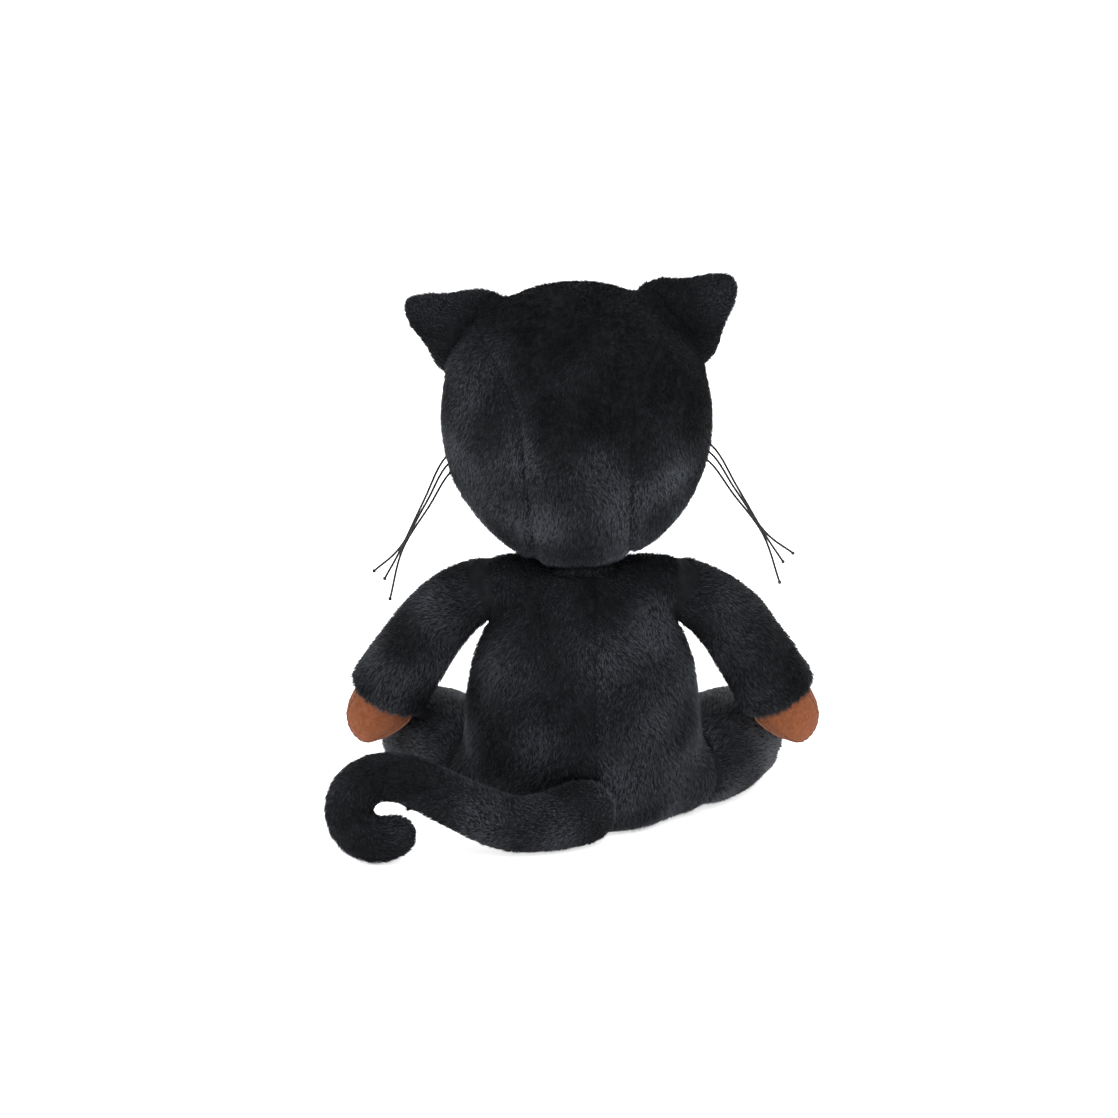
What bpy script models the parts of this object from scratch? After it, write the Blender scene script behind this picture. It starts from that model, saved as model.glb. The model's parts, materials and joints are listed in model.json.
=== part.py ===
"""A seated plush cat: pile panels sewn over stuffing, suede paws, corded whiskers.

Metres, +Z up.  The cat faces -Y and its own left side is +X.  The origin is the
middle of the flat base panel that it sits on.  Every soft piece is a cloth shell
with its own stuffing inside, and a limb meets the trunk as a round root in a round
hole, so that it turns there without cutting into its neighbour.
"""

import math

import bmesh
import bpy
from mathutils import Matrix, Vector

MM = 0.001

# Cloth and clearances
CLOTH = 2.0 * MM  # pile fabric, backing and seam allowance
SEAM = 0.5 * MM  # between two panels that are sewn edge to edge
LOOSE = 0.5 * MM  # between a piece and what rests against it
PLAY = 0.8 * MM  # between a round root and the hole that it turns in
BIG = 0.4  # reach of a cutting block, past everything

# Trunk
TRUNK_DEPTH = 0.85  # front to back, as a share of its width
TRUNK_PROFILE = (  # half width and height, from the neck down
    (0, 129), (19, 128), (26, 124), (31.5, 118), (38.7, 108), (46.3, 95), (52, 80),
    (55.5, 60), (56, 40), (53.5, 20), (47, 8), (42, 3), (34, 0), (0, 0),
)
BACK_SEAM_X = -6 * MM
SIDE_SEAM_Y = -6 * MM
BASE_SEAM_Z = 2.5 * MM
POUCH_RADIUS = 19 * MM
POUCH_CENTRE = Vector((0, 0, 34)) * MM

# Neck and head
NECK_PIVOT = Vector((0, 0, 116)) * MM
NECK_RADIUS = 20 * MM
NECK_TOP_Z = 131 * MM
HEAD_PIVOT = Vector((0, 0, 130)) * MM
HEAD_ROLL = math.radians(2.5)  # the head leans towards its left shoulder
HEAD_DEPTH = 0.82
HEAD_PROFILE = (
    (0, 264), (18, 262), (33, 256), (45, 248), (54, 237), (60, 224), (63, 211),
    (64, 200), (63, 188), (60.5, 176), (55.5, 164), (48.5, 153), (39, 142),
    (29, 135.5), (20, 133.5), (0, 133.5),
)
BACK_SEAM_EDGE = (  # half width and height of the back strip, from the neck up to the ears
    (22.5, 131.95), (23.5, 150), (25.5, 187), (27, 210), (32, 225), (41.5, 242), (52, 256), (58, 266.05),
)
FACE_SEAM_EDGE = ((20, 131.95), (50, 266.05))
CROWN_SEAM_Y = -10 * MM

# Face
MUZZLE_CENTRE = Vector((0, -45, 166)) * MM
MUZZLE_SIZE = Vector((23, 14, 14)) * MM
NOSE_CENTRE = Vector((0, -58, 172.5)) * MM
NOSE_SIZE = Vector((6.5, 3.5, 4.5)) * MM
EYE_X = 23 * MM
EYE_Z = 192 * MM
EYE_RADIUS = 6.5 * MM
EYE_HEIGHT = 4 * MM
SHANK_RADIUS = 1.5 * MM
SHANK_LENGTH = 9 * MM
WASHER_RADIUS = 6.5 * MM
WASHER_THICKNESS = 1.5 * MM
WASHER_DEPTH = 3.4 * MM

# Ears
EAR_BASE = Vector((48.5, -4, 242)) * MM
EAR_LEANS = {1: math.radians(60), -1: math.radians(-53)}  # left and right, out from straight up
EAR_HEIGHT = 36 * MM
EAR_HALF_BASE = 23 * MM
EAR_BACK_THICKNESS = 3.4 * MM
EAR_LINING_THICKNESS = 1.6 * MM
EAR_CLEARANCE = 1.6 * MM

# Limbs: (x, y, z, radius) in millimetres for the left side; the first is the pivot
ARM_ROUTE = (
    (45, -2, 114, 14.5), (55.5, -5, 109.8, 14.5), (66.5, -9, 101, 15.6),
    (77, -14, 87.5, 16.5), (87.5, -21, 70, 17.5), (95, -26, 56, 18.5),
)
CUFF_LENGTH = 11 * MM
ARM_FILLING_STOP = 19 * MM  # the filling ends this far from the sleeve's end
PAW_ROUTE = (
    (91.5, -23.3, 63, 14.5), (96, -26.7, 53, 15), (100.5, -30, 43.2, 15.2),
)
LEG_ROUTE = (
    (57.5, -25, 24.6, 24), (67, -43, 25.5, 24.8), (77, -72, 23, 22.5),
)
LEG_FILLING_STOP = 12 * MM
FOOT_ROUTE = (
    (75.5, -67, 22, 18.5), (78.5, -78, 20.5, 18.5), (81, -87, 19.5, 18),
)
TAIL_ROUTE = (
    (0, 50.5, 16.5, 16), (16.5, 62.7, 15.2, 14.2), (34, 66, 15, 13.6), (51, 69, 22, 13.2),
    (68, 72, 31, 12.6), (84, 75, 39.5, 12), (99, 77, 41, 11.8), (109.5, 79, 34, 11.6),
    (112, 80, 24, 11.5), (107.5, 81, 15, 11.4), (98, 82, 11.8, 11.2), (90, 82, 13.5, 10.8),
)

# Whiskers, left side: three waxed cords that leave the muzzle and droop
WHISKER_RADIUS = 0.5 * MM
WHISKER_ROUTES = (
    ((25.5, -50, 170), (45, -52, 179), (64, -34, 175), (76, -22, 156), (88, -16, 134), (96.5, -12, 120.5)),
    ((26, -50.5, 166.5), (45, -53, 173), (63, -36, 171), (75, -26, 154), (88.5, -19, 134), (101.5, -14, 124)),
    ((25.5, -51, 163), (43, -53, 167), (61, -39, 167), (74, -29, 151), (87.5, -22, 132), (94.5, -15, 109.5)),
)

# Fineness
TURN_STEPS = 24
TUBE_BEVEL = 4  # twelve sides
STUFFING_BEVEL = 3  # ten sides
FACET_ROOM = 0.9  # mm, for a ten-sided filling to turn inside a twelve-sided skin
ROUTE_STEPS = 2
WHISKER_STEPS = 3
DOME_ANGLES = (28, 52, 72, 84)  # degrees round a rounded end

# Plain colours (linear)
PILE = (0.013, 0.013, 0.015, 1)
SUEDE = (0.27, 0.09, 0.04, 1)
FIBRE = (0.80, 0.80, 0.78, 1)
PELLETS = (0.55, 0.52, 0.45, 1)
GLOSS = (0.01, 0.008, 0.007, 1)
CORD = (0.01, 0.01, 0.011, 1)


def clear_scene():
    for old in list(bpy.data.objects):
        bpy.data.objects.remove(old, do_unlink=True)


def collection(name):
    group = bpy.data.collections.new(name)
    bpy.context.scene.collection.children.link(group)
    return group


clear_scene()
PARTS = collection("plush_cat")
GUIDES = collection("plush_cat_cutters")


def pivot(name, spot, parent=None, roll=0.0):
    """An empty on a joint's axis, which the pieces of one moving body hang from."""
    empty = bpy.data.objects.new(name, None)
    empty.empty_display_size = 0.02
    PARTS.objects.link(empty)
    if parent is not None:
        hang(empty, parent)
    empty.location = spot
    empty.rotation_euler.y = roll
    return empty


def hang(obj, parent):
    """Parent obj, which is modelled in the cat's neutral frame, to a pivot."""
    obj.parent = parent
    obj.matrix_parent_inverse = Matrix.Translation(-parent.location)


def place(name, mesh, group=PARTS, parent=None):
    obj = bpy.data.objects.new(name, mesh)
    group.objects.link(obj)
    if group is GUIDES:
        obj.hide_render = True
        obj.display_type = "WIRE"
    if parent is not None:
        hang(obj, parent)
    return obj


def painted(obj, colour, roughness):
    material = bpy.data.materials.new(obj.name + "_finish")
    material.use_nodes = True
    shader = material.node_tree.nodes["Principled BSDF"]
    shader.inputs["Base Color"].default_value = colour
    shader.inputs["Roughness"].default_value = roughness
    shader.inputs["Metallic"].default_value = 0.0
    material.diffuse_color = colour
    obj.data.materials.clear()
    obj.data.materials.append(material)
    return obj


def pile(obj):
    return painted(obj, PILE, 0.9)


def suede(obj):
    return painted(obj, SUEDE, 0.85)


def fibre(obj):
    return painted(obj, FIBRE, 1.0)


def gloss(obj):
    return painted(obj, GLOSS, 0.15)


def solid_mesh(obj):
    """Turn a curve, or an object with modifiers, into one welded plain mesh."""
    bpy.context.view_layer.update()
    evaluated = obj.evaluated_get(bpy.context.evaluated_depsgraph_get())
    mesh = bpy.data.meshes.new_from_object(evaluated)
    body = bmesh.new()
    body.from_mesh(mesh)
    bmesh.ops.remove_doubles(body, verts=body.verts, dist=0.01 * MM)
    bmesh.ops.recalc_face_normals(body, faces=body.faces)
    body.to_mesh(mesh)
    body.free()
    bpy.data.objects.remove(obj, do_unlink=True)
    mesh.shade_smooth()
    mesh.set_sharp_from_angle(angle=math.radians(50))
    return mesh


def copy_of(mesh, name, group=PARTS, parent=None):
    return place(name, mesh.copy(), group, parent)


def block(name, low, high, parent=None):
    """A box between two corners, used to keep or cut away a region."""
    body = bmesh.new()
    bmesh.ops.create_cube(body, size=1)
    size = Vector(high) - Vector(low)
    middle = (Vector(high) + Vector(low)) / 2
    shape = Matrix.Translation(middle) @ Matrix.Diagonal((*size, 1))
    bmesh.ops.transform(body, matrix=shape, verts=body.verts)
    mesh = bpy.data.meshes.new(name)
    body.to_mesh(mesh)
    body.free()
    return place(name, mesh, GUIDES, parent)


def ball(name, centre, size, group=GUIDES, parent=None, rings=12, around=20):
    body = bmesh.new()
    bmesh.ops.create_uvsphere(body, u_segments=around, v_segments=rings, radius=1)
    shape = Matrix.Translation(centre) @ Matrix.Diagonal((*size, 1))
    bmesh.ops.transform(body, matrix=shape, verts=body.verts)
    mesh = bpy.data.meshes.new(name)
    body.to_mesh(mesh)
    body.free()
    mesh.shade_smooth()
    return place(name, mesh, group, parent)


def rod(name, centre, direction, radius, length, group=GUIDES, parent=None, sides=16):
    body = bmesh.new()
    bmesh.ops.create_cone(
        body, cap_ends=True, segments=sides, radius1=radius, radius2=radius, depth=length
    )
    turn = Vector((0, 0, 1)).rotation_difference(direction).to_matrix().to_4x4()
    bmesh.ops.transform(body, matrix=Matrix.Translation(centre) @ turn, verts=body.verts)
    mesh = bpy.data.meshes.new(name)
    body.to_mesh(mesh)
    body.free()
    return place(name, mesh, group, parent)


def combine(obj, other, operation="DIFFERENCE"):
    step = obj.modifiers.new(operation.lower(), "BOOLEAN")
    step.operation = operation
    step.solver = "EXACT"
    step.object = other
    return obj


def inset(profile, distance):
    """The same turned outline, moved inwards by a distance in millimetres."""
    inner = []
    last = len(profile) - 1
    for index, (radius, height) in enumerate(profile):
        if index in (0, last):
            inner.append((0, height - distance if index == 0 else height + distance))
            continue
        before = Vector(profile[index - 1])
        after = Vector(profile[index + 1])
        run = (after - before).normalized()
        outward = Vector((-run.y, run.x))
        moved = Vector((radius, height)) - outward * distance
        moved.y = max(moved.y, profile[last][1] + distance)
        moved.y = min(moved.y, profile[0][1] - distance)
        inner.append((moved.x, moved.y))
    return inner


def turned(name, profile, depth):
    """An outline turned about Z and pressed front to back, as a closed mesh."""
    outline = bmesh.new()
    points = [outline.verts.new((radius * MM, 0, height * MM)) for radius, height in profile]
    for upper, lower in zip(points, points[1:]):
        outline.edges.new((upper, lower))
    mesh = bpy.data.meshes.new(name)
    outline.to_mesh(mesh)
    outline.free()
    obj = place(name, mesh)
    screw = obj.modifiers.new("turn", "SCREW")
    screw.steps = TURN_STEPS
    screw.render_steps = TURN_STEPS
    screw.use_merge_vertices = True
    screw.merge_threshold = 0.00001
    mesh = solid_mesh(obj)
    mesh.transform(Matrix.Diagonal((1, depth, 1, 1)))
    return mesh


def smooth_route(route, steps):
    """Points and radii along a smooth curve through every point of the route."""
    knots = [Vector(point) for point in route]
    first = knots[0] * 2 - knots[1]
    last = knots[-1] * 2 - knots[-2]
    knots = [first, *knots, last]
    out = []
    for index in range(1, len(knots) - 2):
        a, b, c, d = knots[index - 1:index + 3]
        for step in range(steps):
            t = step / steps
            out.append(
                0.5 * (2 * b + (c - a) * t + (2 * a - 5 * b + 4 * c - d) * t**2
                       + (3 * b - a - 3 * c + d) * t**3)
            )
    out.append(knots[-2])
    return out


def rounded_end(end, inward):
    """Rings of a dome past the last point of a tube, from its tip to its rim."""
    radius = end[3]
    outward = (Vector(end[:3]) - Vector(inward[:3])).normalized()
    rings = []
    for angle in reversed(DOME_ANGLES):
        turn = math.radians(angle)
        centre = Vector(end[:3]) + outward * radius * math.sin(turn)
        rings.append(Vector((*centre, radius * math.cos(turn))))
    return rings


def stuffed_tube(name, route, shrink=0.0, start="dome", end="dome", bevel=TUBE_BEVEL, reach=0.0):
    """A tube along a route of (x, y, z, radius) in millimetres, as a closed mesh.

    An end is a dome, or flat; reach carries a flat far end straight on."""
    points = smooth_route(route, ROUTE_STEPS)
    points = [Vector((*point[:3], point[3] - shrink)) for point in points]
    if reach:
        ahead = (Vector(points[-1][:3]) - Vector(points[-2][:3])).normalized()
        points.append(Vector((*(Vector(points[-1][:3]) + ahead * reach), points[-1][3])))
    if start == "dome":
        points = rounded_end(points[0], points[1]) + points
    if end == "dome":
        points = points + rounded_end(points[-1], points[-2])[::-1]
    curve = bpy.data.curves.new(name, "CURVE")
    curve.dimensions = "3D"
    curve.bevel_depth = 1.0
    curve.bevel_resolution = bevel
    curve.use_fill_caps = True
    spline = curve.splines.new("POLY")
    spline.points.add(len(points) - 1)
    for knot, point in zip(spline.points, points):
        knot.co = (*(Vector(point[:3]) * MM), 1)
        knot.radius = point[3] * MM
    return solid_mesh(place(name, curve))


def other_side(route, side):
    return [(point[0] * side, *point[1:]) for point in route]


def at(route, index=0):
    return Vector(route[index][:3]) * MM


def hole(name, centre, radius, parent=None):
    """The round hole in the trunk that a limb's round root turns in."""
    size = Vector((1, 1, 1)) * (radius + PLAY)
    return ball(name, centre, size, parent=parent)


def build_trunk(holes):
    outer = turned("trunk_outer", TRUNK_PROFILE, TRUNK_DEPTH)
    wall = turned("trunk_inner", inset(TRUNK_PROFILE, CLOTH / MM), TRUNK_DEPTH)
    inner = copy_of(wall, "trunk_hollow", GUIDES)
    half = SEAM / 2
    top_of_base = BASE_SEAM_Z + half
    regions = {
        "torso_back_left": ((BACK_SEAM_X + half, SIDE_SEAM_Y + half, top_of_base), (BIG, BIG, BIG)),
        "torso_back_right": ((-BIG, SIDE_SEAM_Y + half, top_of_base), (BACK_SEAM_X - half, BIG, BIG)),
        "torso_belly": ((-BIG, -BIG, top_of_base), (BIG, SIDE_SEAM_Y - half, BIG)),
        "torso_base": ((-BIG, -BIG, -BIG), (BIG, BIG, BASE_SEAM_Z - half)),
    }
    for name, (low, high) in regions.items():
        panel = copy_of(outer, name)
        combine(panel, inner)
        combine(panel, block(name + "_region", low, high), "INTERSECT")
        if name != "torso_base":
            for cutter in holes:
                combine(panel, cutter)
        pile(panel)
    core = turned("trunk_core", inset(TRUNK_PROFILE, (CLOTH + LOOSE) / MM), TRUNK_DEPTH)
    stuffing = copy_of(core, "torso_stuffing")
    for cutter in holes:
        combine(stuffing, cutter)
    pocket = ball("pouch_pocket", POUCH_CENTRE, Vector((1, 1, 1)) * (POUCH_RADIUS + LOOSE))
    neck = rod("pouch_filling_slit", POUCH_CENTRE * 0.5, Vector((0, 0, 1)), 4 * MM, POUCH_CENTRE.z)
    combine(combine(stuffing, pocket), neck)
    fibre(stuffing)
    size = Vector((1, 1, 1)) * POUCH_RADIUS
    pouch = ball("pellet_pouch", POUCH_CENTRE, size, PARTS, rings=8, around=16)
    painted(pouch, PELLETS, 0.8)


def build_neck(neck_pivot):
    """A stuffed ball with its top cut level, which the head is sewn to."""
    flat = (NECK_TOP_Z - NECK_PIVOT.z) / MM
    radius = NECK_RADIUS / MM
    start = math.asin(flat / radius)
    steps = 9
    outline = [(0, flat)]
    for step in range(steps):
        turn = start - (start + math.pi / 2) * step / steps
        outline.append((radius * math.cos(turn), radius * math.sin(turn)))
    outline.append((0, -radius))
    mesh = turned("neck_outline", outline, 1.0)
    mesh.transform(Matrix.Translation(NECK_PIVOT))
    pile(copy_of(mesh, "neck_plug", parent=neck_pivot))


def gusset_wedge(name, edge, extra, front_y, back_y, parent):
    """The region between two seams that run from the ears down to the neck."""
    mesh = bpy.data.meshes.new(name)
    edge = [(half * MM + extra, height * MM) for half, height in edge]
    outline = [(-half, height) for half, height in reversed(edge)] + edge
    count = len(outline)
    points = [(x, y, z) for y in (front_y, back_y) for x, z in outline]
    sides = [(i, (i + 1) % count, (i + 1) % count + count, i + count) for i in range(count)]
    mesh.from_pydata(points, [], [*sides, range(count - 1, -1, -1), range(count, 2 * count)])
    shape = bmesh.new()
    shape.from_mesh(mesh)
    bmesh.ops.recalc_face_normals(shape, faces=shape.faces)
    shape.to_mesh(mesh)
    shape.free()
    return place(name, mesh, GUIDES, parent)


def eye_axis():
    """Where the left eye meets the face, and the way that it looks."""
    heights = [height for _, height in HEAD_PROFILE]
    index = next(i for i, height in enumerate(heights) if height * MM < EYE_Z)
    (upper_r, upper_z), (lower_r, lower_z) = HEAD_PROFILE[index - 1], HEAD_PROFILE[index]
    share = (EYE_Z / MM - lower_z) / (upper_z - lower_z)
    width = (lower_r + (upper_r - lower_r) * share) * MM
    depth = width * HEAD_DEPTH
    spot = Vector((EYE_X, -depth * math.sqrt(1 - (EYE_X / width) ** 2), EYE_Z))
    normal = Vector((spot.x / width**2, spot.y / depth**2, 0)).normalized()
    return spot, normal


def build_eye(name, side, head_pivot, skin_guide, core, face):
    spot, normal = eye_axis()
    spot = Vector((spot.x * side, spot.y, spot.z))
    normal = Vector((normal.x * side, normal.y, 0))
    turn = Vector((0, 0, 1)).rotation_difference(normal).to_matrix().to_4x4()
    size = Vector((EYE_RADIUS, EYE_RADIUS, EYE_HEIGHT))
    dome = ball(name, Vector(), size, PARTS, head_pivot, 8, 16)
    dome.data.transform(Matrix.Translation(spot) @ turn)
    combine(dome, skin_guide)
    middle = spot - normal * (SHANK_LENGTH / 2 - EYE_HEIGHT * 0.6)
    shank = rod(name + "_shank", middle, normal, SHANK_RADIUS, SHANK_LENGTH, parent=head_pivot)
    combine(dome, shank, "UNION")
    gloss(dome)
    through = rod(name + "_eyelet", spot, normal, SHANK_RADIUS + LOOSE, 30 * MM, parent=head_pivot)
    combine(face, through)
    place_of_washer = spot - normal * (WASHER_DEPTH + WASHER_THICKNESS / 2)
    washer = rod(
        name + "_washer", place_of_washer, normal, WASHER_RADIUS, WASHER_THICKNESS, PARTS, head_pivot, 24
    )
    combine(washer, through)
    painted(washer, FIBRE, 0.4)
    pocket_depth = SHANK_LENGTH + 2 * MM
    pocket = rod(
        name + "_pocket", spot - normal * pocket_depth / 2, normal, WASHER_RADIUS + LOOSE,
        pocket_depth, parent=head_pivot, sides=24,
    )
    combine(core, pocket)


def build_head(head_pivot):
    outer = turned("head_outer", HEAD_PROFILE, HEAD_DEPTH)
    inner_mesh = turned("head_inner", inset(HEAD_PROFILE, CLOTH / MM), HEAD_DEPTH)
    hollow = copy_of(inner_mesh, "head_hollow", GUIDES, head_pivot)
    grown = turned("head_grown", inset(HEAD_PROFILE, -LOOSE / MM), HEAD_DEPTH)
    skin_guide = copy_of(grown, "head_clearance", GUIDES, head_pivot)
    half = SEAM / 2
    back = (BACK_SEAM_EDGE, CROWN_SEAM_Y, BIG)
    front = (FACE_SEAM_EDGE, -BIG, CROWN_SEAM_Y)
    beside_back = gusset_wedge("beside_back", back[0], half, back[1], back[2], head_pivot)
    beside_front = gusset_wedge("beside_front", front[0], half, front[1], front[2], head_pivot)

    def panel(name):
        return combine(copy_of(outer, name, parent=head_pivot), hollow)

    middle_back = gusset_wedge("middle_back", back[0], -half, back[1] + half, back[2], head_pivot)
    middle_front = gusset_wedge("middle_front", front[0], -half, front[1], front[2] - half, head_pivot)
    gusset = combine(panel("head_gusset"), middle_back, "INTERSECT")
    face = combine(panel("head_face"), middle_front, "INTERSECT")
    for name, low, high in (("left", 0, BIG), ("right", -BIG, 0)):
        cheek = panel("head_side_" + name)
        combine(combine(cheek, beside_back), beside_front)
        keep = block("cheek_" + name, (low, -BIG, -BIG), (high, BIG, BIG), head_pivot)
        pile(combine(cheek, keep, "INTERSECT"))
    core = copy_of(
        turned("head_core", inset(HEAD_PROFILE, (CLOTH + LOOSE) / MM), HEAD_DEPTH),
        "head_stuffing", parent=head_pivot,
    )
    for name, side in (("left", 1), ("right", -1)):
        build_eye("eye_" + name, side, head_pivot, skin_guide, core, face)
    pile(gusset)
    pile(face)
    fibre(core)
    muzzle = ball("muzzle", MUZZLE_CENTRE, MUZZLE_SIZE, PARTS, head_pivot)
    pile(combine(muzzle, skin_guide))
    around_muzzle = ball(
        "muzzle_clearance", MUZZLE_CENTRE, MUZZLE_SIZE + Vector((1, 1, 1)) * LOOSE, parent=head_pivot
    )
    nose = ball("nose", NOSE_CENTRE, NOSE_SIZE, PARTS, head_pivot, 8, 16)
    suede(combine(nose, around_muzzle))
    for name, side in (("left", 1), ("right", -1)):
        for index, route in enumerate(WHISKER_ROUTES):
            build_whisker(f"whisker_{name}_{index + 1}", other_side(route, side), head_pivot)


def build_whisker(name, route, head_pivot):
    curve = bpy.data.curves.new(name, "CURVE")
    curve.dimensions = "3D"
    curve.bevel_depth = WHISKER_RADIUS
    curve.bevel_resolution = 2
    curve.use_fill_caps = True
    spline = curve.splines.new("POLY")
    points = smooth_route(route, WHISKER_STEPS)
    spline.points.add(len(points) - 1)
    for knot, point in zip(spline.points, points):
        knot.co = (*(point * MM), 1)
    painted(place(name, curve, PARTS, head_pivot), CORD, 0.6)


def ear_layer(name, thickness, offset, side, skin_guide, ear_pivot):
    """One flat layer of an ear: a triangle with a rounded tip, trimmed to the head."""
    curve = bpy.data.curves.new(name, "CURVE")
    curve.dimensions = "2D"
    curve.fill_mode = "BOTH"
    curve.extrude = thickness / 2
    curve.resolution_u = 3
    corners = (
        (-EAR_HALF_BASE * 0.9, -8 * MM), (EAR_HALF_BASE * 0.9, -8 * MM), (EAR_HALF_BASE, 2 * MM),
        (EAR_HALF_BASE * 0.62, EAR_HEIGHT * 0.5), (EAR_HALF_BASE * 0.26, EAR_HEIGHT * 0.93),
        (0, EAR_HEIGHT), (-EAR_HALF_BASE * 0.26, EAR_HEIGHT * 0.93),
        (-EAR_HALF_BASE * 0.62, EAR_HEIGHT * 0.5), (-EAR_HALF_BASE, 2 * MM),
    )
    spline = curve.splines.new("BEZIER")
    spline.bezier_points.add(len(corners) - 1)
    for knot, (across, up) in zip(spline.bezier_points, corners):
        knot.co = (across, up, 0)
        knot.handle_left_type = "AUTO"
        knot.handle_right_type = "AUTO"
    spline.use_cyclic_u = True
    mesh = solid_mesh(place(name + "_outline", curve))
    base = Vector((EAR_BASE.x * side, EAR_BASE.y + offset, EAR_BASE.z))
    stand = Matrix.Rotation(EAR_LEANS[side], 4, "Y") @ Matrix.Rotation(math.pi / 2, 4, "X")
    mesh.transform(Matrix.Translation(base) @ stand)
    layer = place(name, mesh, PARTS, ear_pivot)
    return combine(layer, skin_guide)


def build_ear(name, side, head_pivot, skin_guide):
    base = Vector((EAR_BASE.x * side, EAR_BASE.y, EAR_BASE.z))
    ear_pivot = pivot(f"ear_{name}_pivot", base, head_pivot)
    pile(ear_layer(f"ear_{name}", EAR_BACK_THICKNESS, 0, side, skin_guide, ear_pivot))
    forward = -(EAR_BACK_THICKNESS + EAR_LINING_THICKNESS) / 2 - LOOSE
    lining = ear_layer(f"ear_{name}_lining", EAR_LINING_THICKNESS, forward, side, skin_guide, ear_pivot)
    suede(lining)


def far_end_block(name, route, back, parent, beyond):
    """Everything past (or before) a plane across the far end of a route."""
    points = smooth_route(route, ROUTE_STEPS)
    tip = Vector(points[-1][:3]) * MM
    ahead = (tip - Vector(points[-2][:3]) * MM).normalized()
    region = block(name, (-BIG, -BIG, 0 if beyond else -BIG), (BIG, BIG, BIG if beyond else 0), parent)
    turn = Vector((0, 0, 1)).rotation_difference(ahead).to_matrix().to_4x4()
    region.data.transform(Matrix.Translation(tip - ahead * back) @ turn)
    return region


def build_arm(name, side):
    route = other_side(ARM_ROUTE, side)
    shoulder = pivot(f"shoulder_{name}", at(route))
    outer = stuffed_tube("arm_outer", route, end="flat")
    hollow_mesh = stuffed_tube("arm_inner", route, CLOTH / MM, end="flat", reach=10)
    hollow = copy_of(hollow_mesh, f"arm_{name}_hollow", GUIDES, shoulder)
    before = far_end_block(f"sleeve_{name}", route, CUFF_LENGTH + SEAM / 2, shoulder, False)
    beyond = far_end_block(f"cuff_{name}_region", route, CUFF_LENGTH - SEAM / 2, shoulder, True)
    sleeve = combine(copy_of(outer, f"arm_{name}", parent=shoulder), hollow)
    pile(combine(sleeve, before, "INTERSECT"))
    cuff = combine(copy_of(outer, f"cuff_{name}", parent=shoulder), hollow)
    pile(combine(cuff, beyond, "INTERSECT"))
    paw_route = other_side(PAW_ROUTE, side)
    paw = copy_of(stuffed_tube("paw", paw_route, start="flat"), f"paw_{name}", parent=shoulder)
    suede(paw)
    filling_route = route[:-1]
    filling = stuffed_tube("arm_core", filling_route, (CLOTH + LOOSE) / MM + FACET_ROOM, bevel=STUFFING_BEVEL)
    stuffing = copy_of(filling, f"arm_{name}_stuffing", parent=shoulder)
    stop = far_end_block(f"arm_{name}_stop", route, ARM_FILLING_STOP, shoulder, True)
    fibre(combine(stuffing, stop))
    return hole(f"armhole_{name}", at(route), route[0][3] * MM)


def build_leg(name, side):
    route = other_side(LEG_ROUTE, side)
    hip = pivot(f"hip_{name}", at(route))
    hollow_mesh = stuffed_tube("leg_inner", route, CLOTH / MM, end="flat", reach=12)
    hollow = copy_of(hollow_mesh, f"leg_{name}_hollow", GUIDES, hip)
    outer = stuffed_tube("leg_outer", route, end="flat")
    pile(combine(copy_of(outer, f"leg_{name}", parent=hip), hollow))
    foot_route = other_side(FOOT_ROUTE, side)
    suede(copy_of(stuffed_tube("foot", foot_route, start="flat"), f"foot_{name}", parent=hip))
    filling = stuffed_tube(
        "leg_core", route, (CLOTH + LOOSE) / MM + FACET_ROOM, end="flat", bevel=STUFFING_BEVEL
    )
    stuffing = copy_of(filling, f"leg_{name}_stuffing", parent=hip)
    stop = far_end_block(f"leg_{name}_stop", route, LEG_FILLING_STOP, hip, True)
    fibre(combine(stuffing, stop))
    return hole(f"hip_hole_{name}", at(route), route[0][3] * MM)


def build_tail():
    root = pivot("tail_root", at(TAIL_ROUTE))
    hollow_mesh = stuffed_tube("tail_inner", TAIL_ROUTE, CLOTH / MM)
    hollow = copy_of(hollow_mesh, "tail_hollow", GUIDES, root)
    inward = at(TAIL_ROUTE) - at(TAIL_ROUTE, 1)
    opening = rod(
        "tail_filling_hole", at(TAIL_ROUTE) + inward / 2, inward.normalized(), 5 * MM, 32 * MM, parent=root
    )
    tail = combine(copy_of(stuffed_tube("tail_outer", TAIL_ROUTE), "tail", parent=root), hollow)
    pile(combine(tail, opening))
    filling = stuffed_tube("tail_core", TAIL_ROUTE, (CLOTH + LOOSE) / MM + FACET_ROOM, bevel=STUFFING_BEVEL)
    fibre(copy_of(filling, "tail_stuffing", parent=root))
    return hole("tail_hole", at(TAIL_ROUTE), TAIL_ROUTE[0][3] * MM)


def build_cat():
    sides = (("left", 1), ("right", -1))
    holes = [build_arm(name, side) for name, side in sides]
    holes += [build_leg(name, side) for name, side in sides]
    holes.append(build_tail())
    holes.append(hole("neck_hole", NECK_PIVOT, NECK_RADIUS))
    build_trunk(holes)
    neck_pivot = pivot("neck_pivot", NECK_PIVOT)
    build_neck(neck_pivot)
    head_pivot = pivot("head_pivot", HEAD_PIVOT, neck_pivot, HEAD_ROLL)
    build_head(head_pivot)
    ear_room = turned("ear_room", inset(HEAD_PROFILE, -EAR_CLEARANCE / MM), HEAD_DEPTH)
    skin_guide = copy_of(ear_room, "ear_clearance", GUIDES, head_pivot)
    for name, side in sides:
        build_ear(name, side, head_pivot, skin_guide)


build_cat()
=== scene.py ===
# %% [markdown]
# # A seated plush cat
# The real cat is sewn from black pile fabric, turned right side out and stuffed. Its paws, feet, nose and
# ear linings are brown suede cloth, its whiskers are waxed cord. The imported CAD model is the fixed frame:
# every visible piece is built round it and rides on one of its moving bodies.

# %% Load the frame
import json
import math

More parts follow.
